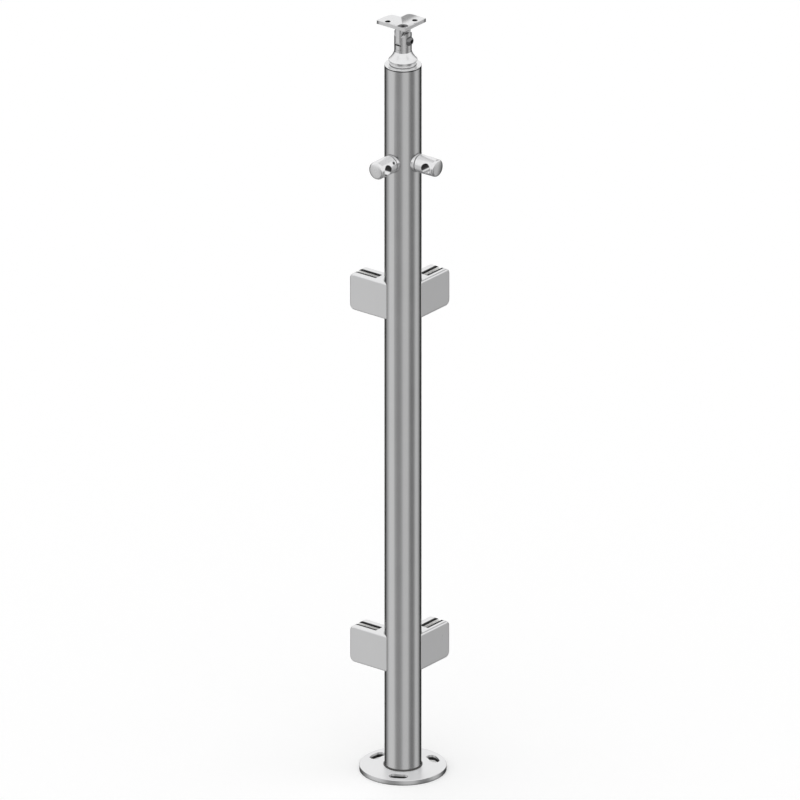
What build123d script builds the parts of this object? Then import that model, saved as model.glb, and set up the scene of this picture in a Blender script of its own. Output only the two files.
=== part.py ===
from build123d import *
import math
import os

# Corner post of a railing, in stainless steel. Millimetres, +Z up. The origin is the centre of
# the foot plate's underside. The glass panes leave the post along +X and along +Y, and the two
# cross bars pass it on the outside of the corner.

# Post and foot plate
post_radius = 21.2
post_wall = 2.0
plate_radius = 50.0
plate_thickness = 6.0
plate_edge = 0.5
slot_circle_radius = 37.5
slot_width = 11.0
slot_length = 22.0
slot_count = 3
slot_first_angle = 90.0
tube_length = 862.6

# End cap, collar and stud
cap_rim = 1.5
cap_rim_round = 0.4
cap_plug_length = 12.0
cap_plug_clearance = 0.1
collar_radius = 15.0
collar_height = 5.6
stud_radius = 4.0
stud_hole_clearance = 0.2
stud_in_cap = 10.0
stud_in_stem = 9.0

# Support stem with its fork
flare_radius = 16.5
flare_lip = 0.6
flare_height = 10.8
flare_hollow = 0.7
stem_radius = 10.0
fork_slot = 8.0
fork_floor_above_flare = 3.5
fork_head_radius = 10.4
pivot_above_flare = 14.1

# Pivot screw
pivot_radius = 3.0
pivot_clearance = 0.05
pivot_head_radius = 5.25
pivot_head_height = 4.2
pivot_head_rim = 0.8
pivot_seat_depth = 1.4
pivot_seat_clearance = 0.3
pivot_end_inset = 0.6

# Tongue and saddle plate
link_side_clearance = 0.05
link_foot_radius = 9.8
link_above_pivot = 12.4
handrail_radius = 21.2
saddle_thickness = 3.5
saddle_half_width = 12.5
saddle_reach = 34.4
saddle_screw_radius = 3.0
saddle_screw_length = 10.0
saddle_screw_sink = 0.1
saddle_sink_radius = 6.8
saddle_hole_radius = 3.0
saddle_hole_distance = 22.0

# Glass clamps
clamp_heights = {"low": 146.1, "high": 581.9}
clamp_height = 45.0
clamp_reach = 62.6
clamp_corner = 6.8
clamp_edge_round = 2.5
clamp_outer_face = 19.3
jaw_thickness = 6.1
glass_gap = 6.4
pad_thickness = 2.0
pad_inset = 0.4
pad_boss_clearance = 0.3
cover_thickness = 9.5
web_end = 28.4
boss_end = 35.0
boss_half_height = 14.5
cover_screw_radius = 3.0
cover_screw_length = 16.0
cover_screw_place = 29.0
cover_screw_spacing = 19.0
cover_hole_clearance = 0.2

# Clamp fixing screws and the rivet nuts in the tube
fixing_radius = 2.5
fixing_length = 16.0
fixing_head_radius = 4.25
fixing_head_height = 5.0
fixing_seat = 26.0
fixing_clearance = 0.25
nut_radius = 3.5
nut_length = 12.0
nut_below_surface = 0.6
nut_bulge_radius = 4.8
nut_bulge_length = 3.0

# Cross bar holders
holder_below_top = 113.9
holder_radius = 10.5
holder_ring_end = 24.0
holder_end = 50.3
holder_end_round = 2.5
bar_radius = 6.0
bar_clearance = 0.1
bar_distance = 40.5
spigot_radius = 6.5
spigot_end = 32.0
spigot_clearance = 0.05
spigot_end_clearance = 0.6
grub_radius = 2.0
grub_length = 3.6
grub_distance = 28.5
grub_angle = 30.0

# Countersunk heads of the screws: cone of 90 degrees
sunk_head_ratio = 2.0
sunk_head_rim = 0.3
sunk_below_face = 0.2
sunk_clearance = 0.1

# Heights that follow from the sizes above
tube_top = plate_thickness + tube_length
holder_height = tube_top - holder_below_top
cap_top = tube_top + cap_rim
collar_top = cap_top + collar_height
flare_top = collar_top + flare_height
pivot_height = flare_top + pivot_above_flare
fork_floor = flare_top + fork_floor_above_flare
saddle_underside = pivot_height + link_above_pivot
saddle_bottom = saddle_underside + saddle_thickness
handrail_axis = saddle_bottom + handrail_radius
pivot_seat = stem_radius - pivot_seat_depth
slot_front = clamp_outer_face - jaw_thickness
slot_back = slot_front - glass_gap - 2 * pad_thickness
cover_face = slot_back - cover_thickness
fixing_tilt = math.degrees(math.atan2((slot_front + slot_back) / 2, fixing_seat))

# Places: each clamp's plane runs out along its pane and looks at the clamp's outer face, each
# holder's plane looks away from the post, and the pivot's plane looks at the screw's head
clamp_places = {}
for level, height in clamp_heights.items():
    clamp_places["x_" + level] = Plane(origin=(0, 0, height), x_dir=(1, 0, 0), z_dir=(0, -1, 0))
    clamp_places["y_" + level] = Plane(origin=(0, 0, height), x_dir=(0, 1, 0), z_dir=(-1, 0, 0))
holder_places = {
    "x": Plane(origin=(0, 0, holder_height), x_dir=(0, -1, 0), z_dir=(-1, 0, 0)),
    "y": Plane(origin=(0, 0, holder_height), x_dir=(1, 0, 0), z_dir=(0, -1, 0)),
}
pivot_place = Plane(origin=(0, 0, pivot_height), x_dir=(1, 0, 0), z_dir=(0, -1, 0))
saddle_screw_place = Plane.XY.offset(saddle_bottom - saddle_screw_sink)
mitre = Plane(origin=(0, 0, handrail_axis), x_dir=(0, 0, 1), z_dir=(1, -1, 0))


def fixing_place(place):
    """The post's centre at a clamp, looking out along the slanted screw that holds the clamp."""
    tilt = math.radians(fixing_tilt)
    outward = place.x_dir * math.cos(tilt) + place.z_dir * math.sin(tilt)
    return Plane(origin=place.origin, x_dir=(0, 0, 1), z_dir=outward)


nut_seats = [fixing_place(place) for place in clamp_places.values()]
nut_seats += list(holder_places.values())

os.makedirs("parts", exist_ok=True)


def save(piece, node):
    piece.part.label = node
    export_step(piece.part, f"parts/{node}.step")


def together(pieces):
    """Identical fasteners as one set."""
    with BuildPart() as fasteners:
        for piece in pieces:
            add(piece.part)
    return fasteners


def hex_socket(radius):
    """Half the width across corners of the hexagon socket in a screw of this thread radius."""
    return radius * 0.78


def sunk_screw(place, radius, length):
    """Countersunk socket screw: the place is its flat head, looking out."""
    head_radius = radius * sunk_head_ratio
    with BuildPart() as screw:
        with BuildSketch(place):
            Circle(head_radius)
        extrude(amount=-sunk_head_rim)
        with BuildSketch(place.offset(-sunk_head_rim)):
            Circle(head_radius)
        with BuildSketch(place.offset(-sunk_head_rim - head_radius + radius)):
            Circle(radius)
        loft()
        with BuildSketch(place):
            Circle(radius)
        extrude(amount=-length)
        with BuildSketch(place):
            RegularPolygon(hex_socket(radius), 6)
        extrude(amount=sunk_head_rim + radius - head_radius, mode=Mode.SUBTRACT)
    return screw


def sunk_hole(place, radius, hole_radius, sink_radius, depth):
    """Hole that a countersunk screw of this radius fills to its head at the place."""
    rise = sink_radius - radius * sunk_head_ratio - sunk_head_rim
    with Locations(place.offset(rise)):
        CounterSinkHole(hole_radius, sink_radius, depth=depth + rise)


def foot_plate():
    """Turned disc with curved slots, so that the post can be turned true before it is fixed."""
    slot_arc = math.degrees((slot_length - slot_width) / slot_circle_radius)
    with BuildPart() as plate:
        with BuildSketch():
            Circle(plate_radius)
        extrude(amount=plate_thickness)
        chamfer(plate.edges().group_by(Axis.Z)[-1], plate_edge)
        with BuildSketch():
            with PolarLocations(0, slot_count, start_angle=slot_first_angle):
                SlotArc(
                    CenterArc((0, 0), slot_circle_radius, -slot_arc / 2, slot_arc), slot_width
                )
        extrude(amount=plate_thickness, mode=Mode.SUBTRACT)
    return plate


def tube():
    """Round tube with a hole for each rivet nut."""
    with BuildPart() as pipe:
        with BuildSketch(Plane.XY.offset(plate_thickness)):
            Circle(post_radius)
            Circle(post_radius - post_wall, mode=Mode.SUBTRACT)
        extrude(amount=tube_length)
        for seat in nut_seats:
            with BuildSketch(seat):
                Circle(nut_radius)
            extrude(amount=post_radius, mode=Mode.SUBTRACT)
    return pipe


def rivet_nut(seat):
    """Blind rivet nut: a bush in the tube wall, the folded bulge behind it and the screw's bore."""
    outer_end = post_radius - nut_below_surface
    bulge_seat = math.sqrt((post_radius - post_wall) ** 2 - nut_bulge_radius**2)
    with BuildPart() as nut:
        with BuildSketch(seat.offset(outer_end)):
            Circle(nut_radius)
        extrude(amount=-nut_length)
        with BuildSketch(seat.offset(bulge_seat)):
            Circle(nut_bulge_radius)
        extrude(amount=-nut_bulge_length)
        with BuildSketch(seat.offset(outer_end)):
            Circle(fixing_radius)
        extrude(amount=-nut_length, mode=Mode.SUBTRACT)
    return nut


def post_cap():
    """Turned cap: rim flush with the tube, plug inside it and a threaded hole for the stud."""
    with BuildPart() as cap:
        with BuildSketch(Plane.XY.offset(tube_top)):
            Circle(post_radius)
        extrude(amount=cap_rim)
        fillet(cap.edges().group_by(Axis.Z)[-1], cap_rim_round)
        with BuildSketch(Plane.XY.offset(tube_top)):
            Circle(post_radius - post_wall - cap_plug_clearance)
        extrude(amount=-cap_plug_length)
        with BuildSketch(Plane.XY.offset(cap_top)):
            Circle(stud_radius)
        extrude(amount=-cap_rim - cap_plug_length, mode=Mode.SUBTRACT)
    return cap


def spacer_collar():
    """Plain ring between the cap and the stem."""
    with BuildPart() as ring:
        with BuildSketch(Plane.XY.offset(cap_top)):
            Circle(collar_radius)
            Circle(stud_radius + stud_hole_clearance, mode=Mode.SUBTRACT)
        extrude(amount=collar_height)
    return ring


def stud():
    """Threaded stud from the cap through the collar into the stem."""
    with BuildPart() as rod:
        with BuildSketch(Plane.XY.offset(cap_top - stud_in_cap)):
            Circle(stud_radius)
        extrude(amount=stud_in_cap + collar_height + stud_in_stem)
    return rod


def stem():
    """Turned flare and stem, milled to a fork whose ears are rounded about the pivot."""
    with BuildPart() as body:
        ear_top = pivot_height + fork_head_radius
        with BuildSketch(Plane.XZ):
            with BuildLine():
                lip = Line((flare_radius, collar_top), (flare_radius, collar_top + flare_lip))
                flare = SagittaArc(lip @ 1, (stem_radius, flare_top), flare_hollow)
                Polyline(
                    flare @ 1, (stem_radius, ear_top), (0, ear_top), (0, collar_top), lip @ 0
                )
            make_face()
        revolve(axis=Axis.Z)
        with BuildSketch(Plane.XZ):
            with Locations((0, (collar_top + pivot_height) / 2)):
                Rectangle(2 * flare_radius, pivot_height - collar_top)
            with Locations((0, pivot_height)):
                Circle(fork_head_radius)
        extrude(amount=flare_radius, both=True, mode=Mode.INTERSECT)
        with BuildSketch(Plane.XY.offset(fork_floor)):
            Rectangle(2 * stem_radius, fork_slot)
        extrude(amount=ear_top - fork_floor, mode=Mode.SUBTRACT)
        with BuildSketch(pivot_place.offset(pivot_seat)):
            Circle(pivot_head_radius + pivot_seat_clearance)
        extrude(amount=pivot_seat_depth, mode=Mode.SUBTRACT)
        with BuildSketch(pivot_place):
            Circle(pivot_radius + pivot_clearance)
        extrude(amount=stem_radius, mode=Mode.SUBTRACT)
        with BuildSketch(pivot_place):
            Circle(pivot_radius)
        extrude(amount=-stem_radius, mode=Mode.SUBTRACT)
        with BuildSketch(Plane.XY.offset(collar_top)):
            Circle(stud_radius)
        extrude(amount=stud_in_stem, mode=Mode.SUBTRACT)
    return body


def pivot():
    """Button head socket screw from the seat on the outer ear to the far ear."""
    head_face = -pivot_seat - pivot_head_height
    rim_face = -pivot_seat - pivot_head_rim
    with BuildPart() as screw:
        with BuildSketch(Plane.YZ):
            with BuildLine():
                seat = Polyline(
                    (-pivot_seat, pivot_height),
                    (-pivot_seat, pivot_height + pivot_head_radius),
                    (rim_face, pivot_height + pivot_head_radius),
                )
                crown = ThreePointArc(
                    seat @ 1,
                    (
                        rim_face - (pivot_head_height - pivot_head_rim) * 0.62,
                        pivot_height + pivot_head_radius * 0.86,
                    ),
                    (head_face, pivot_height + pivot_head_radius * 0.5),
                )
                Polyline(crown @ 1, (head_face, pivot_height), (-pivot_seat, pivot_height))
            make_face()
        revolve(axis=Axis((0, 0, pivot_height), (0, 1, 0)))
        with BuildSketch(pivot_place.offset(pivot_seat)):
            Circle(pivot_radius)
        extrude(amount=pivot_end_inset - pivot_seat - stem_radius)
        with BuildSketch(pivot_place.offset(pivot_seat + pivot_head_height)):
            RegularPolygon(hex_socket(pivot_radius), 6)
        extrude(amount=-pivot_head_height * 0.6, mode=Mode.SUBTRACT)
    return screw


def rail_corner(radius):
    """Two round bars of this radius along +X and +Y, mitred together over the post."""
    with BuildPart() as bars:
        with BuildSketch(Plane.YZ):
            with Locations((0, handrail_axis)):
                Circle(radius)
        extrude(amount=2 * saddle_reach, both=True)
        split(bisect_by=mitre, keep=Keep.TOP)
        mirror(about=mitre)
    return bars


def saddle():
    """Plate with two arms, hollowed to the handrail's corner and mitred where the arms meet."""
    rail = rail_corner(handrail_radius).part
    rail_and_plate = rail_corner(handrail_radius + saddle_thickness).part
    with BuildPart() as plate:
        with BuildSketch(Plane.XY.offset(saddle_underside)):
            for arm in (0, 90):
                with Locations(Rotation(0, 0, arm) * Pos((saddle_reach - saddle_half_width) / 2)):
                    SlotOverall(saddle_reach + saddle_half_width, 2 * saddle_half_width)
            Rectangle(2 * saddle_half_width, 2 * saddle_half_width)
        extrude(amount=handrail_radius)
        add(rail_and_plate, mode=Mode.INTERSECT)
        add(rail, mode=Mode.SUBTRACT)
        with BuildSketch(Plane.XY.offset(saddle_underside)):
            with Locations((saddle_hole_distance, 0), (0, saddle_hole_distance)):
                Circle(saddle_hole_radius)
        extrude(amount=handrail_radius, mode=Mode.SUBTRACT)
        sunk_hole(
            saddle_screw_place,
            saddle_screw_radius,
            saddle_screw_radius + cover_hole_clearance,
            saddle_sink_radius,
            2 * saddle_thickness,
        )
    return plate


def link():
    """Tongue that tilts in the fork, shaped at the top to the saddle's underside."""
    rail_and_plate = rail_corner(handrail_radius + saddle_thickness).part
    with BuildPart() as tongue:
        with BuildSketch(Plane.XZ):
            with Locations((0, pivot_height)):
                Circle(link_foot_radius)
            with Locations((0, (pivot_height + saddle_bottom) / 2)):
                Rectangle(2 * link_foot_radius, saddle_bottom - pivot_height)
        extrude(amount=fork_slot / 2 - link_side_clearance, both=True)
        with BuildSketch(Plane.XY.offset(fork_floor)):
            Circle(stem_radius)
        extrude(amount=saddle_bottom - fork_floor, mode=Mode.INTERSECT)
        add(rail_and_plate, mode=Mode.SUBTRACT)
        with BuildSketch(pivot_place):
            Circle(pivot_radius + pivot_clearance)
        extrude(amount=fork_slot, both=True, mode=Mode.SUBTRACT)
        with BuildSketch(saddle_screw_place):
            Circle(saddle_screw_radius)
        extrude(amount=-saddle_screw_length, mode=Mode.SUBTRACT)
    return tongue


def clamp_outline(inset=0.0):
    """Side of a clamp: the near edge lies inside the post, the far corners are rounded."""
    with BuildSketch() as outline:
        with Locations((clamp_reach / 2, 0)):
            Rectangle(clamp_reach - 2 * inset, clamp_height - 2 * inset)
        fillet(outline.vertices().group_by(Axis.X)[-1], clamp_corner - inset)
    return outline.sketch


def post_cut():
    """Takes away what lies inside the post."""
    bottom = (Align.CENTER, Align.CENTER, Align.MIN)
    Cylinder(post_radius, tube_top, align=bottom, mode=Mode.SUBTRACT)


def clamp_body(place):
    """Outer jaw, web and boss in one casting, with the slanted pocket of the fixing screw."""
    outward = Axis(place.origin, place.z_dir)
    fixing = fixing_place(place)
    pocket_end = boss_end / math.cos(math.radians(fixing_tilt))
    with BuildPart() as body:
        with BuildSketch(place.offset(slot_front)):
            add(clamp_outline())
        extrude(amount=jaw_thickness)
        fillet(body.faces().sort_by(outward)[-1].edges(), clamp_edge_round)
        with BuildSketch(place.offset(slot_back)):
            with Locations((web_end / 2, 0)):
                Rectangle(web_end, clamp_height)
            with Locations((boss_end / 2, 0)):
                Rectangle(boss_end, 2 * boss_half_height)
        extrude(amount=slot_front - slot_back)
        post_cut()
        with BuildSketch(fixing):
            Circle(fixing_radius + fixing_clearance)
        extrude(amount=fixing_seat, mode=Mode.SUBTRACT)
        with BuildSketch(fixing.offset(fixing_seat)):
            Circle(fixing_head_radius + fixing_clearance)
        extrude(amount=pocket_end - fixing_seat, mode=Mode.SUBTRACT)
        with BuildSketch(place.offset(cover_face)):
            with Locations((cover_screw_place, 0)):
                with GridLocations(0, cover_screw_spacing, 1, 2):
                    Circle(cover_screw_radius)
        extrude(amount=cover_screw_length + cover_screw_radius, mode=Mode.SUBTRACT)
    return body


def cover_screw_places(place):
    """Flat heads of the two screws in a clamp's cover, looking away from the clamp's outer face."""
    heads = []
    for side in (-1, 1):
        head = place.from_local_coords(
            (cover_screw_place, side * cover_screw_spacing / 2, cover_face + sunk_below_face)
        )
        heads.append(Plane(head, x_dir=place.x_dir, z_dir=-place.z_dir))
    return heads


def clamp_cover(place):
    """Inner jaw, held by two countersunk screws."""
    inward = Axis(place.origin, -place.z_dir)
    with BuildPart() as cover:
        with BuildSketch(place.offset(cover_face)):
            add(clamp_outline())
        extrude(amount=cover_thickness)
        fillet(cover.faces().sort_by(inward)[-1].edges(), clamp_edge_round)
        post_cut()
        for head in cover_screw_places(place):
            sunk_hole(
                head,
                cover_screw_radius,
                cover_screw_radius + cover_hole_clearance,
                cover_screw_radius * sunk_head_ratio + sunk_clearance,
                cover_thickness,
            )
    return cover


def clamp_pad(place, level):
    """Rubber pad on a jaw, cut out round the boss."""
    with BuildPart() as pad:
        with BuildSketch(place.offset(level)):
            add(clamp_outline(pad_inset))
            with Locations((web_end / 2, 0)):
                Rectangle(web_end + 2 * pad_boss_clearance, clamp_height, mode=Mode.SUBTRACT)
            with Locations((boss_end / 2, 0)):
                Rectangle(
                    boss_end + 2 * pad_boss_clearance,
                    2 * (boss_half_height + pad_boss_clearance),
                    mode=Mode.SUBTRACT,
                )
        extrude(amount=pad_thickness)
    return pad


def fixing_screw(place):
    """Cap head socket screw that pulls the clamp against the post."""
    fixing = fixing_place(place)
    with BuildPart() as screw:
        with BuildSketch(fixing.offset(fixing_seat)):
            Circle(fixing_head_radius)
        extrude(amount=fixing_head_height)
        with BuildSketch(fixing.offset(fixing_seat)):
            Circle(fixing_radius)
        extrude(amount=-fixing_length)
        with BuildSketch(fixing.offset(fixing_seat + fixing_head_height)):
            RegularPolygon(hex_socket(fixing_radius), 6)
        extrude(amount=-fixing_head_height / 2, mode=Mode.SUBTRACT)
    return screw


def holder_base(place):
    """Ring shaped to the post, with the spigot that the holder's body sits on."""
    with BuildPart() as base:
        with BuildSketch(place):
            Circle(holder_radius)
        extrude(amount=holder_ring_end)
        with BuildSketch(place):
            Circle(spigot_radius)
        extrude(amount=spigot_end)
        post_cut()
        sunk_hole(
            place.offset(spigot_end - sunk_below_face),
            fixing_radius,
            fixing_radius + fixing_clearance,
            fixing_radius * sunk_head_ratio + sunk_clearance,
            spigot_end,
        )
    return base


def grub_place(place):
    """Axis of the set screw that holds the body on the spigot, looking out of the body."""
    angle = math.radians(grub_angle)
    outward = place.x_dir * math.cos(angle) + place.y_dir * math.sin(angle)
    return Plane(place.offset(grub_distance).origin, x_dir=place.z_dir, z_dir=outward)


def holder_body(place):
    """Round block with the cross bar's bore, a socket for the spigot and a set screw hole."""
    bore = Plane(place.offset(bar_distance).origin, x_dir=place.z_dir, z_dir=place.x_dir)
    with BuildPart() as body:
        with BuildSketch(place.offset(holder_ring_end)):
            Circle(holder_radius)
        extrude(amount=holder_end - holder_ring_end)
        fillet(body.faces().sort_by(Axis(place.origin, place.z_dir))[-1].edges(), holder_end_round)
        with BuildSketch(place.offset(holder_ring_end)):
            Circle(spigot_radius + spigot_clearance)
        extrude(amount=spigot_end + spigot_end_clearance - holder_ring_end, mode=Mode.SUBTRACT)
        with BuildSketch(bore):
            Circle(bar_radius + bar_clearance)
        extrude(amount=holder_radius, both=True, mode=Mode.SUBTRACT)
        with BuildSketch(grub_place(place)):
            Circle(grub_radius)
        extrude(amount=holder_radius, mode=Mode.SUBTRACT)
    return body


def grub_screw(place):
    """Set screw with a hexagon socket, its point on the spigot."""
    with BuildPart() as grub:
        with BuildSketch(grub_place(place).offset(spigot_radius)):
            Circle(grub_radius)
        extrude(amount=grub_length)
        with BuildSketch(grub_place(place).offset(spigot_radius + grub_length)):
            RegularPolygon(hex_socket(grub_radius) * 0.8, 6)
        extrude(amount=-grub_length / 2, mode=Mode.SUBTRACT)
    return grub


# Post and foot
save(foot_plate(), "base_plate")
save(tube(), "post_tube")
save(together([rivet_nut(seat) for seat in nut_seats]), "rivet_nuts")

# Handrail support
save(post_cap(), "end_cap")
save(spacer_collar(), "collar")
save(stud(), "cap_stud")
save(stem(), "support_stem")
save(pivot(), "pivot_screw")
save(link(), "saddle_link")
save(saddle(), "saddle_plate")
save(
    sunk_screw(saddle_screw_place, saddle_screw_radius, saddle_screw_length),
    "saddle_screw",
)

# Glass clamps
for name, place in clamp_places.items():
    save(clamp_body(place), f"clamp_{name}_body")
    save(clamp_cover(place), f"clamp_{name}_cover")
    save(clamp_pad(place, slot_front - pad_thickness), f"clamp_{name}_outer_pad")
    save(clamp_pad(place, slot_back), f"clamp_{name}_inner_pad")
    cover_screws = [
        sunk_screw(head, cover_screw_radius, cover_screw_length)
        for head in cover_screw_places(place)
    ]
    save(together(cover_screws), f"clamp_{name}_screws")
save(together([fixing_screw(place) for place in clamp_places.values()]), "clamp_fixings")

# Cross bar holders
for name, place in holder_places.items():
    save(holder_base(place), f"holder_{name}_base")
    save(holder_body(place), f"holder_{name}_body")
    save(grub_screw(place), f"holder_{name}_grub")
holder_screws = [
    sunk_screw(place.offset(spigot_end - sunk_below_face), fixing_radius, fixing_length)
    for place in holder_places.values()
]
save(together(holder_screws), "holder_screws")
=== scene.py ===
import math

import bpy
import numpy as np
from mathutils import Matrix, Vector


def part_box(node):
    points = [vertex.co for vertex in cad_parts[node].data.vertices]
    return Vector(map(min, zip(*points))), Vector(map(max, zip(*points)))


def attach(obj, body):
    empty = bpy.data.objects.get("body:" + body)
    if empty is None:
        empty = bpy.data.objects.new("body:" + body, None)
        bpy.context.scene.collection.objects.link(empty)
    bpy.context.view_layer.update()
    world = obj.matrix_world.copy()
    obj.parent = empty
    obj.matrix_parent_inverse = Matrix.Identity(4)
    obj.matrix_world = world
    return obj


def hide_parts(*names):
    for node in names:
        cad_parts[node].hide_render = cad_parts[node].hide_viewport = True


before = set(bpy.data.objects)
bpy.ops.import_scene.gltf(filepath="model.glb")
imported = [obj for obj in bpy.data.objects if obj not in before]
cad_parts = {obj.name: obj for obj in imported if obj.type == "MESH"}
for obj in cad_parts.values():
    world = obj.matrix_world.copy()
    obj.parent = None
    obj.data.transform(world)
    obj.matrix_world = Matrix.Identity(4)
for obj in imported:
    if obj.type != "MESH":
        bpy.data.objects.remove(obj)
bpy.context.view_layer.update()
scene = bpy.context.scene
scene.view_settings.view_transform = "Standard"

# The view: a long lens from far off, so that the post's upright lines stay upright. It looks from
# the outside of the corner, a little down, with the whole post from foot plate to saddle in frame.
view_azimuth = math.radians(-51.96)
view_elevation = math.radians(22.73)
view_distance = 40.0
view_height = 0.9112
view_target = Vector((-0.00209, 0.00267, 0.4568))
back = Vector(
    (
        math.sin(view_azimuth) * math.cos(view_elevation),
        -math.cos(view_azimuth) * math.cos(view_elevation),
        math.sin(view_elevation),
    )
)
lens = bpy.data.cameras.new("long_lens")
lens.sensor_width = 36.0
lens.lens = lens.sensor_width * view_distance / view_height
lens.clip_start = 0.5
lens.clip_end = 100.0
camera = bpy.data.objects.new("camera", lens)
camera.location = view_target + back * view_distance
camera.rotation_euler = (-back).to_track_quat("-Z", "Y").to_euler()
scene.collection.objects.link(camera)
scene.camera = camera


# The studio: a white tent. Its upper half is plain white, and the lower half has soft grey gaps
# between the white walls, which satin steel shows as upright bands. The camera sees white alone.
class Value:
    """An output in a node tree. Arithmetic on it adds Math nodes, and put adds any other node."""

    def __init__(self, tree, socket=None):
        self.tree = tree
        self.socket = socket

    def put(self, kind, settings=(), sockets=(), output=0):
        node = self.tree.nodes.new(kind)
        for name, setting in dict(settings).items():
            setattr(node, name, setting)
        for name, value in dict(sockets).items():
            if isinstance(value, Value):
                self.tree.links.new(value.socket, node.inputs[name])
            else:
                node.inputs[name].default_value = value
        return Value(self.tree, node.outputs[output]) if node.outputs else None

    def math(self, operation, *values):
        return self.put("ShaderNodeMath", {"operation": operation}, enumerate(values))

    def __add__(self, other):
        return self.math("ADD", self, other)

    def __sub__(self, other):
        return self.math("SUBTRACT", self, other)

    def __rsub__(self, other):
        return self.math("SUBTRACT", other, self)

    def __mul__(self, other):
        return self.math("MULTIPLY", self, other)

    def __truediv__(self, other):
        return self.math("DIVIDE", self, other)

    def __abs__(self):
        return self.math("ABSOLUTE", self)

    __radd__ = __add__
    __rmul__ = __mul__

    def step(self, low, high):
        """0 below low, 1 above high and an S curve between; with high first it falls instead."""
        settings = {"interpolation_type": "SMOOTHSTEP"}
        sockets = {"Value": self, "From Min": min(low, high), "From Max": max(low, high)}
        sockets["To Min"] = 0.0 if low < high else 1.0
        sockets["To Max"] = 1.0 - sockets["To Min"]
        return self.put("ShaderNodeMapRange", settings, sockets)

    def less(self, centre):
        """This vector with another vector taken from it."""
        return self.put("ShaderNodeVectorMath", {"operation": "SUBTRACT"}, {0: self, 1: centre})

    def split(self):
        """The X, Y and Z of this vector."""
        node = self.put("ShaderNodeSeparateXYZ", sockets={"Vector": self}).socket.node
        return [Value(self.tree, node.outputs[i]) for i in range(3)]


white = (1.0, 1.0, 1.0, 1.0)
world = bpy.data.worlds.new("studio")
world.use_nodes = True
world.node_tree.nodes.clear()
scene.world = world
sky = Value(world.node_tree)
ray_x, ray_y, ray_z = sky.put("ShaderNodeTexCoord", output="Generated").split()
flat_squared = ray_x * ray_x + ray_y * ray_y + 0.000001
flat_length = flat_squared.math("SQRT", flat_squared)
camera_side = -141.96


def gap(towards, half_width, edge):
    """1 in the middle of a gap in the tent, at this bearing in degrees from the camera's side."""
    angle = math.radians(camera_side + towards)
    cosine = (ray_x * math.cos(angle) + ray_y * math.sin(angle)) / flat_length
    inner = math.cos(math.radians(half_width))
    outer = math.cos(math.radians(half_width + edge))
    return cosine.step(outer, inner)


def flag(towards, height, half_width, edge):
    """1 in the middle of a grey cloth that hangs in the tent at this bearing from +X and height."""
    bearing, rise = math.radians(towards), math.radians(height)
    flat = math.cos(rise)
    level = ray_x * (flat * math.cos(bearing)) + ray_y * (flat * math.sin(bearing))
    cosine = level + ray_z * math.sin(rise)
    inner = math.cos(math.radians(half_width))
    outer = math.cos(math.radians(half_width + edge))
    return cosine.step(outer, inner)


lower_half = ray_z.step(0.02, -0.22)
far_wall = ray_z.step(0.2, -0.16) * ray_z.step(-0.8, -0.58)
right_side = gap(95.0, 40.0, 50.0)
walls = (1.0 - lower_half * 0.36) * (1.0 - lower_half * right_side * 0.16)
gaps = gap(-28.0, 2.0, 30.0) * 0.62 + gap(57.0, 2.0, 26.0) * 0.68
soft_gaps = gap(8.0, 6.0, 18.0) * 0.14 + gap(-112.0, 1.0, 14.0) * 0.22
soft_gaps = soft_gaps + gap(142.0, 8.0, 18.0) * 0.6 + gap(-142.0, 6.0, 14.0) * 0.3
far_light = gap(180.0, 5.0, 17.0) * 0.8
dark_end = gap(180.0, 34.0, 48.0) * (1.0 - far_light) * far_wall
grey_cloth = flag(0.0, 43.0, 10.0, 16.0) * 0.66 + flag(camera_side + 53.0, 34.0, 2.0, 10.0) * 0.35
grey_cloth = grey_cloth + flag(camera_side - 60.0, 33.0, 2.0, 12.0) * 0.2
floor_dark = ray_z.step(-0.55, -0.95) * 0.4
tent = walls * (1.0 - lower_half * gaps) * (1.0 - lower_half * soft_gaps)
tent = tent * (1.0 - dark_end * 0.97) * (1.0 - grey_cloth) * (1.0 - floor_dark)
from_camera = sky.put("ShaderNodeLightPath", output="Is Camera Ray")
seen = from_camera + (1.0 - from_camera) * tent
background = sky.put("ShaderNodeBackground", sockets={"Color": white, "Strength": seen})
background.put("ShaderNodeOutputWorld", sockets={"Surface": background})


# The floor: a white sheet, which takes the post's soft shadow. It glows a little for the camera
# alone, so that it runs into the white background.
def add_piece(name, points, faces):
    """A new object with this mesh and its origin at the frame's origin."""
    mesh = bpy.data.meshes.new(name)
    mesh.from_pydata(points.reshape(-1, 3).tolist(), [], faces)
    piece = bpy.data.objects.new(name, mesh)
    scene.collection.objects.link(piece)
    return piece


def new_material(name):
    """An empty material, and the Value that its nodes start from."""
    material = bpy.data.materials.new(name)
    material.use_nodes = True
    material.node_tree.nodes.clear()
    return material, Value(material.node_tree)


floor_radius = 9.0
floor_corners = 96
floor_glow = 0.06
turn = np.linspace(0.0, 2.0 * math.pi, floor_corners, endpoint=False)
rim = np.column_stack((np.cos(turn), np.sin(turn), np.zeros(floor_corners))) * floor_radius
floor = add_piece("floor", rim, [list(range(floor_corners))])
floor.visible_glossy = False
floor_paint, sheet = new_material("white_sheet")
sheet_white = sheet.put("ShaderNodeBsdfDiffuse", sockets={"Color": white})
lift = sheet.put("ShaderNodeLightPath", output="Is Camera Ray") * floor_glow
sheet_lift = sheet.put("ShaderNodeEmission", sockets={"Color": white, "Strength": lift})
sheet_surface = sheet.put("ShaderNodeAddShader", sockets={0: sheet_white, 1: sheet_lift})
sheet.put("ShaderNodeOutputMaterial", sockets={"Surface": sheet_surface})
floor.data.materials.append(floor_paint)

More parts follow.
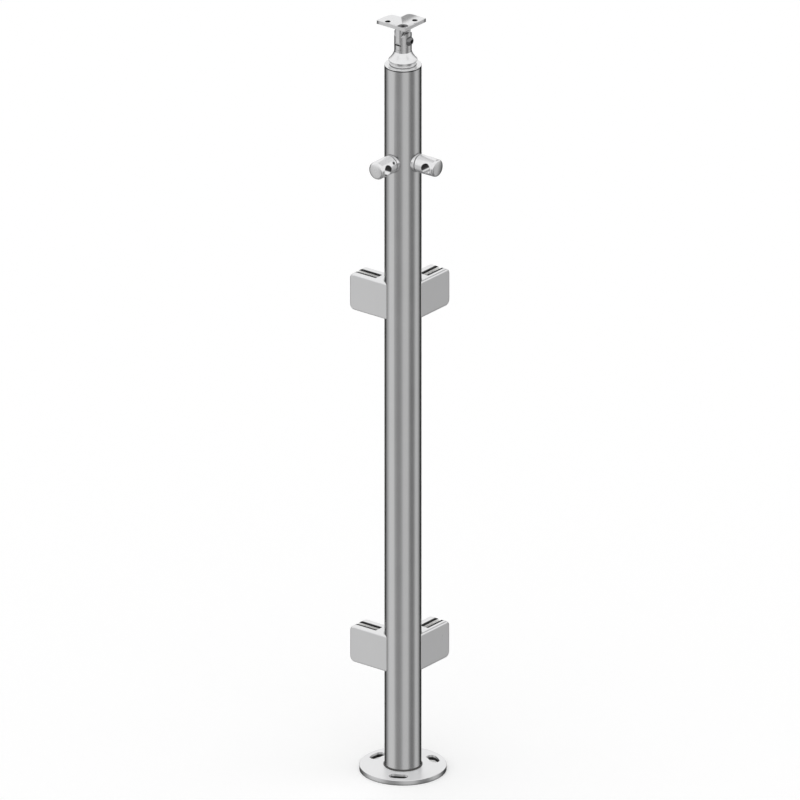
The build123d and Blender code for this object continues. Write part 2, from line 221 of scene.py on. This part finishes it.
# The post: a drawn tube of stainless steel, satin ground round its girth by a belt before it is
# cut. It stands on the foot plate, and its hidden rivet nuts take the screws of what hangs on it.
satin_colour = (0.80, 0.80, 0.805)
line_half = 0.0004
line_edge = 0.0007


def scratches_along(scale):
    """Scratches whose pattern is scaled by this much along each axis."""
    return lambda place: place.put("ShaderNodeMapping", sockets={"Vector": place, "Scale": scale})


def straight(along, pitch):
    """Scratches that run along one axis and repeat about every pitch metres across it."""
    scale = [1.0 / pitch] * 3
    scale[along] = 0.03 / pitch
    return scratches_along(scale)


def girth(pitch):
    """Scratches that run round an upright tube: fine steps up the tube and slow ones across it."""
    return scratches_along((0.04 / pitch, 0.04 / pitch, 1.0 / pitch))


def turned(axis, centre, pitch):
    """Rings that a lathe leaves: they depend on the distance from the axis and the place on it."""

    def lines(place):
        moved = place.less(centre).split()
        a, b = (moved[i] for i in range(3) if i != axis)
        radius = place.math("SQRT", a * a + b * b)
        rings = {0: radius * (1.0 / pitch), 1: moved[axis] * (1.0 / pitch)}
        return place.put("ShaderNodeCombineXYZ", sockets=rings)

    return lines


def ground(
    name, colour, roughness, lines, shade_reach=0.0025, shade_floor=0.15, shade_marks=None, crown=None
):
    """Ground steel. Fine scratches lift the surface by a hundredth of a millimetre and change its
    roughness, and a slow cloud changes its tone a little. Painted shade darkens the colour in joints
    and hollows within shade_reach of other surfaces, and more painted shade goes where the mark
    function gives 1, such as the upper wall of a bore. crown gives the height of a dome."""
    cloud_scale = 28.0
    occlusion_dark, occlusion_clear = 0.42, 0.86
    shade_mark_depth = 0.95
    material, steel = new_material(name)
    place = steel.put("ShaderNodeTexCoord", output="Object")
    scratches = steel.put(
        "ShaderNodeTexNoise", sockets={"Vector": lines(place), "Scale": 1.0, "Detail": 2.0}
    )
    cloud = steel.put(
        "ShaderNodeTexNoise", sockets={"Vector": place, "Scale": cloud_scale, "Detail": 2.0}
    )
    # Painted shade: ambient occlusion darkens the colour where shade falls in joints and hollows.
    painted_joint_shade = steel.put(
        "ShaderNodeAmbientOcclusion", {"samples": 8}, {"Distance": shade_reach}, output="AO"
    )
    painted_joint_shade = painted_joint_shade.step(occlusion_dark, occlusion_clear) * (1.0 - shade_floor) + shade_floor
    tone_and_painted_shade = ((cloud - 0.5) * 0.05 + (scratches - 0.5) * 0.05 + 1.0) * painted_joint_shade
    # Painted shade where the mark function gives 1.
    if shade_marks:
        tone_and_painted_shade = tone_and_painted_shade * (1.0 - shade_marks(place) * shade_mark_depth)
    tone = steel.put("ShaderNodeVectorMath", {"operation": "SCALE"}, {0: colour, "Scale": tone_and_painted_shade})
    relief = {"Strength": 0.5, "Distance": 0.000012, "Height": scratches}
    if crown:
        dome = {"Strength": 1.0, "Distance": 1.0, "Height": crown(place)}
        relief["Normal"] = steel.put("ShaderNodeBump", sockets=dome)
    bump = steel.put("ShaderNodeBump", sockets=relief)
    surface = steel.put(
        "ShaderNodeBsdfPrincipled",
        sockets={
            "Base Color": tone,
            "Metallic": 1.0,
            "Roughness": (scratches - 0.5) * 0.08 + (cloud - 0.5) * 0.06 + roughness,
            "Normal": bump,
        },
    )
    steel.put("ShaderNodeOutputMaterial", sockets={"Surface": surface})
    return material


def dress(node, material):
    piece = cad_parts[node]
    piece.data.materials.clear()
    piece.data.materials.append(material)


tube_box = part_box("post_tube")


def cap_shade_line(place):
    """1 on the fine line of painted shade where the cap's rim meets the tube."""
    line_height = tube_box[1][2] + 0.0001
    return abs(place.split()[2] - line_height).step(line_edge, line_half)


dress("post_tube", ground("satin_tube", satin_colour, 0.24, girth(0.0004), shade_marks=cap_shade_line))
nut_rings = turned(2, (0.0, 0.0, 0.0), 0.0005)
dress("rivet_nuts", ground("nut_steel", (0.66, 0.66, 0.65), 0.35, nut_rings))

# The foot plate: cut from sheet, its edge broken and its top ground in one direction. A fine weld
# runs round the foot of the tube. The tube shows no mirror image of the plate.
plate_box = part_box("base_plate")


def slot_shade(place):
    """Painted shade: 1 on the lower part of the slots' walls, inside the plate's round edge and below
    its top.
    """
    edge_start, edge_end = 0.0482, 0.0488
    slot_shade_start, slot_shade_end = 0.0021, 0.0029
    x, y, z = place.split()
    inside = (x * x + y * y).step(edge_end**2, edge_start**2)
    return inside * z.step(plate_box[1][2] - slot_shade_start, plate_box[1][2] - slot_shade_end)


plate_lines = straight(0, 0.0006)
plate_steel = ground(
    "ground_plate", satin_colour, 0.30, plate_lines, shade_reach=0.0035, shade_marks=slot_shade
)
dress("base_plate", plate_steel)
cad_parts["base_plate"].visible_glossy = False


def fillet_bead(name, radius, height, leg, ripples):
    """Weld round an upright tube: a rounded triangle with legs on tube and plate, carried round the
    tube, whose bulge rises and falls along the run like laid coins."""
    ripple_lean = 2.2
    swell_least, swell_more = 0.16, 0.12
    leg_change = 0.1
    depth_in_tube = 0.15
    turn, side = np.meshgrid(
        np.linspace(0.0, 2.0 * np.pi, ripples * 6, endpoint=False),
        np.linspace(0.0, 1.0, 9),
        indexing="ij",
    )
    wave = 0.5 + 0.5 * np.cos(ripples * turn - ripple_lean * np.sin(np.pi * side))
    swell = np.sin(np.pi * side) * leg * (swell_least + swell_more * wave)
    out = leg * side * (1.0 - leg_change * wave) + swell
    up = leg * (1.0 - side) * (1.0 - leg_change * wave) + swell
    out, up = np.maximum(out, -leg * 0.1), np.maximum(up, -leg * 0.1)
    inner = np.full((len(turn), 1), -leg * depth_in_tube)
    out, up = np.hstack((out, inner)), np.hstack((up, inner))
    turn = np.hstack((turn, turn[:, :1]))
    points = np.stack(
        ((radius + out) * np.cos(turn), (radius + out) * np.sin(turn), height + up), axis=-1
    )
    runs, around = turn.shape
    grid = np.arange(runs * around).reshape(runs, around)
    following, beside = np.roll(grid, -1, axis=0), np.roll(grid, -1, axis=1)
    diagonal = np.roll(following, -1, axis=1)
    faces = np.stack((grid, following, diagonal, beside), axis=-1).reshape(-1, 4)
    bead = add_piece(name, points, faces.tolist())
    bead.data.shade_smooth()
    return bead


foot_weld = fillet_bead("foot_weld", tube_box[1][0], tube_box[0][2], leg=0.0012, ripples=96)
# The weld is nearly black: partly a weld darker than the ground steel, partly painted shade round the
# foot of the tube.
foot_weld.data.materials.append(ground("weld_steel", (0.12, 0.118, 0.115), 0.42, girth(0.0004)))
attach(foot_weld, "post")

# The cap, collar and stem: turned from bar, with the fine rings that the tool leaves. The stud
# that joins them is inside.
turned_colour = (0.82, 0.82, 0.825)
stem_rings = turned(2, (0.0, 0.0, 0.0), 0.0003)
turned_steel = ground("turned_steel", turned_colour, 0.26, stem_rings, shade_marks=cap_shade_line)
for node in ("end_cap", "collar", "support_stem", "cap_stud"):
    dress(node, turned_steel)


def capped(rings):
    """Faces between rings of points that follow each other, and one on the first and last ring."""
    count, around = rings.shape[:2]
    grid = np.arange(count * around).reshape(count, around)
    beside = np.roll(grid, -1, axis=1)
    sides = np.stack((grid[:-1], beside[:-1], beside[1:], grid[1:]), axis=-1).reshape(-1, 4)
    return sides.tolist() + [grid[0, ::-1].tolist(), grid[-1].tolist()]


def trough(name, height, radius, reach, half_width, crest, depth):
    """Floor of the fork's slot: its top is a hollow of this radius about a level axis at height,
    cut off level at crest below it, and its ends lie on an upright cylinder of radius reach. Each
    station along it is a four-cornered ring."""
    bend = np.radians(np.linspace(-89.0, 89.0, 61))
    x = reach * np.sin(bend)
    y = np.minimum(half_width, reach * np.cos(bend))
    top = height - np.maximum(np.sqrt(radius**2 - x**2), crest)
    low = np.full_like(x, height - depth)
    corners = ((x, -y, low), (x, -y, top), (x, y, top), (x, y, low))
    rings = np.stack([np.stack(corner, axis=-1) for corner in corners], axis=1)
    return add_piece(name, rings, capped(rings))


pivot_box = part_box("pivot_screw")
pivot_height = (pivot_box[0][2] + pivot_box[1][2]) / 2.0
slot_floor = trough(
    "fork_slot_floor",
    pivot_height,
    radius=0.01025,
    reach=0.00975,
    half_width=0.00395,
    crest=0.0054,
    depth=0.0108,
)
slot_floor.data.materials.append(turned_steel)
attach(slot_floor, "post")


# The tongue and the saddle plate: milled and pressed, then satin ground. The two holes for the
# handrail's screws are drilled afterwards; their walls are darker with painted shade.
def saddle_hole_shade(place):
    """1 on the walls of the two screw holes, where painted shade goes."""
    hole_distance = 0.022
    wall_start, wall_end = 0.0031, 0.0034
    x, y, _ = place.split()
    near_x = (x - hole_distance) * (x - hole_distance) + y * y
    near_y = x * x + (y - hole_distance) * (y - hole_distance)
    return near_x.math("MINIMUM", near_x, near_y).step(wall_end**2, wall_start**2)


saddle_lines = straight(0, 0.0005)
dress("saddle_link", ground("satin_link", satin_colour, 0.28, saddle_lines))
saddle_steel = ground("satin_saddle", satin_colour, 0.28, saddle_lines, shade_marks=saddle_hole_shade)
dress("saddle_plate", saddle_steel)

# The screws: socket screws, darker than the ground steel round them. The one in the saddle's
# mitre is nearly black.
screw_steel = ground("screw_steel", (0.22, 0.22, 0.225), 0.26, straight(2, 0.0004))
for node in ("pivot_screw", "clamp_fixings", "holder_screws", "holder_x_grub", "holder_y_grub"):
    dress(node, screw_steel)
black_steel = ground("black_screw", (0.10, 0.10, 0.105), 0.36, straight(0, 0.0004))
dress("saddle_screw", black_steel)

# The glass clamps: cast jaws and covers, satin ground along the post. A fine line of painted shade
# follows the pads on the jaws, where each of them is let into its jaw. The tube shows no mirror image
# of the clamps.
slot_start = 0.0286
slot_start_edge = 0.0002
shade_line_width = 0.0012
clamp_axes = {"x": (0, 1), "y": (1, 0)}


def pad_shade_line(side):
    """Painted shade: 1 on the jaws within a fine line's width of the pads' outer faces, from the
    slot's start outwards.
    """
    along_axis, through_axis = clamp_axes[side]
    faces = [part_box(f"clamp_{side}_low_{jaw}_pad") for jaw in ("outer", "inner")]
    low, high = faces[0][0][through_axis], faces[1][1][through_axis]

    def marked(place):
        parts = place.split()
        depth = abs(parts[through_axis] - (low + high) / 2.0) - (high - low) / 2.0
        in_slot = parts[along_axis].step(slot_start, slot_start + slot_start_edge)
        return depth.step(shade_line_width, shade_line_width * 0.8) * in_slot

    return marked


for side in ("x", "y"):
    clamp_lines = straight(2, 0.0006)
    clamp_steel = ground(
        f"cast_jaws_{side}", satin_colour, 0.30, clamp_lines, shade_marks=pad_shade_line(side)
    )
    for level in ("low", "high"):
        clamp = f"clamp_{side}_{level}"
        dress(clamp + "_body", clamp_steel)
        dress(clamp + "_cover", clamp_steel)
        dress(clamp + "_screws", screw_steel)
        for part in ("_body", "_cover"):
            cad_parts[clamp + part].visible_glossy = False

# The pads of the clamps: black rubber cut to the jaw and round the body's boss, with a pale grey
# facing against the glass. They stand as high as the jaws, a little higher than the CAD pads.
pad_corner = 0.0064
pad_round = 0.0004
web_edge = 0.0287
boss_edge = 0.0353
boss_half = 0.0148
pad_proud = 0.0004
facing = 0.0002
facing_edge = 0.0010
facing_edge_blur = 0.0002
level_start, level_end = 0.005, 0.01
rubber_black = (0.010, 0.010, 0.010, 1.0)
facing_grey = (0.86, 0.86, 0.85, 1.0)


def pad_outline(reach, half):
    """Corners of the pad's side, out along the pane and up, with its two far corners rounded."""
    bend = np.linspace(0.0, np.pi / 2.0, 9)
    across, upright = pad_corner * np.sin(bend), pad_corner * np.cos(bend)
    far, high = reach - pad_corner, half - pad_corner
    low_corner = np.column_stack((far + across, -high - upright))
    high_corner = np.column_stack((far + upright, high + across))
    near = [(web_edge, half), (web_edge, boss_half), (boss_edge, boss_half)]
    near += [(boss_edge, -boss_half), (web_edge, -boss_half), (web_edge, -half)]
    return np.vstack((low_corner, high_corner, near))


def inset(outline, distance):
    """The outline with every side moved inwards by this distance: each corner moves along the
    sum of its two sides' normals, divided by one plus the cosine between them."""
    side = np.roll(outline, -1, axis=0) - outline
    length = np.hypot(side[:, 0], side[:, 1])[:, None]
    normal = np.column_stack((-side[:, 1], side[:, 0])) / length
    before = np.roll(normal, 1, axis=0)
    share = 1.0 + np.sum(normal * before, axis=1)
    return outline + distance * (normal + before) / share[:, None]


def rounded_pad(outline, low, high):
    """Outline carried through the pad's thickness, drawn in towards both faces by a quarter
    round."""
    bend = np.linspace(0.0, np.pi / 2.0, 5)
    draw = pad_round * (1.0 - np.sin(bend))
    sink = pad_round * (1.0 - np.cos(bend))
    levels = np.concatenate((low + sink, high - sink[::-1]))
    draws = np.concatenate((draw, draw[::-1]))
    rings = [
        np.column_stack((inset(outline, distance), np.full(len(outline), level)))
        for distance, level in zip(draws, levels)
    ]
    return np.stack(rings)


def faced_rubber(side):
    """Rubber of the clamps on one side: pale within facing of the glass, apart from a black edge
    along the top and bottom of each pad, and black everywhere else."""
    along_axis, through_axis = clamp_axes[side]
    outer_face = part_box(f"clamp_{side}_low_outer_pad")[1][through_axis]
    inner_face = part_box(f"clamp_{side}_low_inner_pad")[0][through_axis]
    half_gap = abs(outer_face - inner_face) / 2.0
    material, rubber = new_material(f"faced_rubber_{side}")
    place = rubber.put("ShaderNodeTexCoord", output="Object")
    parts = place.split()
    faced = abs(parts[through_axis] - (outer_face + inner_face) / 2.0)
    faced = faced.step(half_gap + facing, half_gap + facing * 0.8)
    for level in ("low", "high"):
        low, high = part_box(f"clamp_{side}_{level}_outer_pad")
        middle, half = (low[2] + high[2]) / 2.0, (high[2] - low[2]) / 2.0
        from_middle = abs(parts[2] - middle)
        edge = from_middle.step(half - facing_edge, half - facing_edge + facing_edge_blur)
        this_level = from_middle.step(half + level_end, half + level_start)
        faced = faced * (1.0 - edge * this_level)
    specks = rubber.put(
        "ShaderNodeTexNoise", sockets={"Vector": place, "Scale": 900.0, "Detail": 3.0}
    )
    tone = rubber.put(
        "ShaderNodeMix", {"data_type": "RGBA"}, {0: faced, 6: rubber_black, 7: facing_grey}, output=2
    )
    bump = rubber.put(
        "ShaderNodeBump", sockets={"Strength": 0.4, "Distance": 0.00005, "Height": specks}
    )
    surface = rubber.put(
        "ShaderNodeBsdfPrincipled",
        sockets={
            "Base Color": tone,
            "Roughness": specks * 0.2 + 0.6,
            "Specular IOR Level": 0.2,
            "Normal": bump,
        },
    )
    rubber.put("ShaderNodeOutputMaterial", sockets={"Surface": surface})
    return material


for side, (along_axis, through_axis) in clamp_axes.items():
    rubber = faced_rubber(side)
    for level in ("low", "high"):
        for jaw in ("outer", "inner"):
            node = f"clamp_{side}_{level}_{jaw}_pad"
            low, high = (np.array(corner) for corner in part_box(node))
            outline = pad_outline(high[along_axis], (high[2] - low[2]) / 2.0 + pad_proud)
            rings = rounded_pad(outline, low[through_axis], high[through_axis])
            points = np.empty_like(rings)
            points[..., along_axis] = rings[..., 0]
            points[..., 2] = rings[..., 1] + (low[2] + high[2]) / 2.0
            points[..., through_axis] = rings[..., 2]
            faces = capped(rings)
            if side == "x":
                faces = [face[::-1] for face in faces]
            pad = add_piece(f"pad_{side}_{level}_{jaw}", points, faces)
            pad.data.materials.append(rubber)
            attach(pad, "post")
            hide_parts(node)

# The cross bar holders: turned blocks on their rings, with the cross bar's bore through each. The
# tube shows no mirror image of them.
bar_height = sum(corner[2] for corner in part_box("holder_x_body")) / 2.0
bar_distance = 0.0405
ring_end = 0.024
bore_radius = 0.0061
bore_edge = 0.0003
holder_radius = 0.0105
crown_rise = 14.0


def from_axis(place, axis, centre):
    """Distance squared of a point from a line through centre along this axis."""
    moved = place.less(centre).split()
    a, b = (moved[i] for i in range(3) if i != axis)
    return a * a + b * b


def bar_bore_shade(axis):
    """Painted shade: 1 on the upper wall of the cross bar's bore and on the fine line where holder
    and ring meet.
    """
    upper_start, upper_end = -0.0042, -0.0026
    middle = [0.0, 0.0, bar_height]
    middle[axis] = -bar_distance

    def marked(place):
        parts = place.split()
        wall = from_axis(place, 1 - axis, middle).step((bore_radius + bore_edge) ** 2, bore_radius**2)
        upper = parts[2].step(bar_height + upper_start, bar_height + upper_end)
        painted_joint_shade = abs(parts[axis] + ring_end).step(line_edge, line_half)
        return painted_joint_shade.math("MAXIMUM", wall * upper, painted_joint_shade)

    return marked


def domed_end(axis):
    """Height of the crown on the holder's end: it falls with the square of the distance from the
    holder's axis, and is nothing on the holder's round side and behind the end."""
    end_start, end_full = -0.0472, -0.0478

    def height(place):
        near_end = place.split()[axis].step(end_start, end_full)
        edge = holder_radius**2 - from_axis(place, axis, (0.0, 0.0, bar_height))
        return edge * near_end * crown_rise

    return height


for side, axis in (("x", 0), ("y", 1)):
    rings = turned(axis, (0.0, 0.0, bar_height), 0.0003)
    holder_steel = ground(
        f"turned_holder_{side}",
        turned_colour,
        0.26,
        rings,
        shade_marks=bar_bore_shade(axis),
        crown=domed_end(axis),
    )
    dress(f"holder_{side}_base", holder_steel)
    dress(f"holder_{side}_body", holder_steel)
    for part in ("base", "body"):
        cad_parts[f"holder_{side}_{part}"].visible_glossy = False
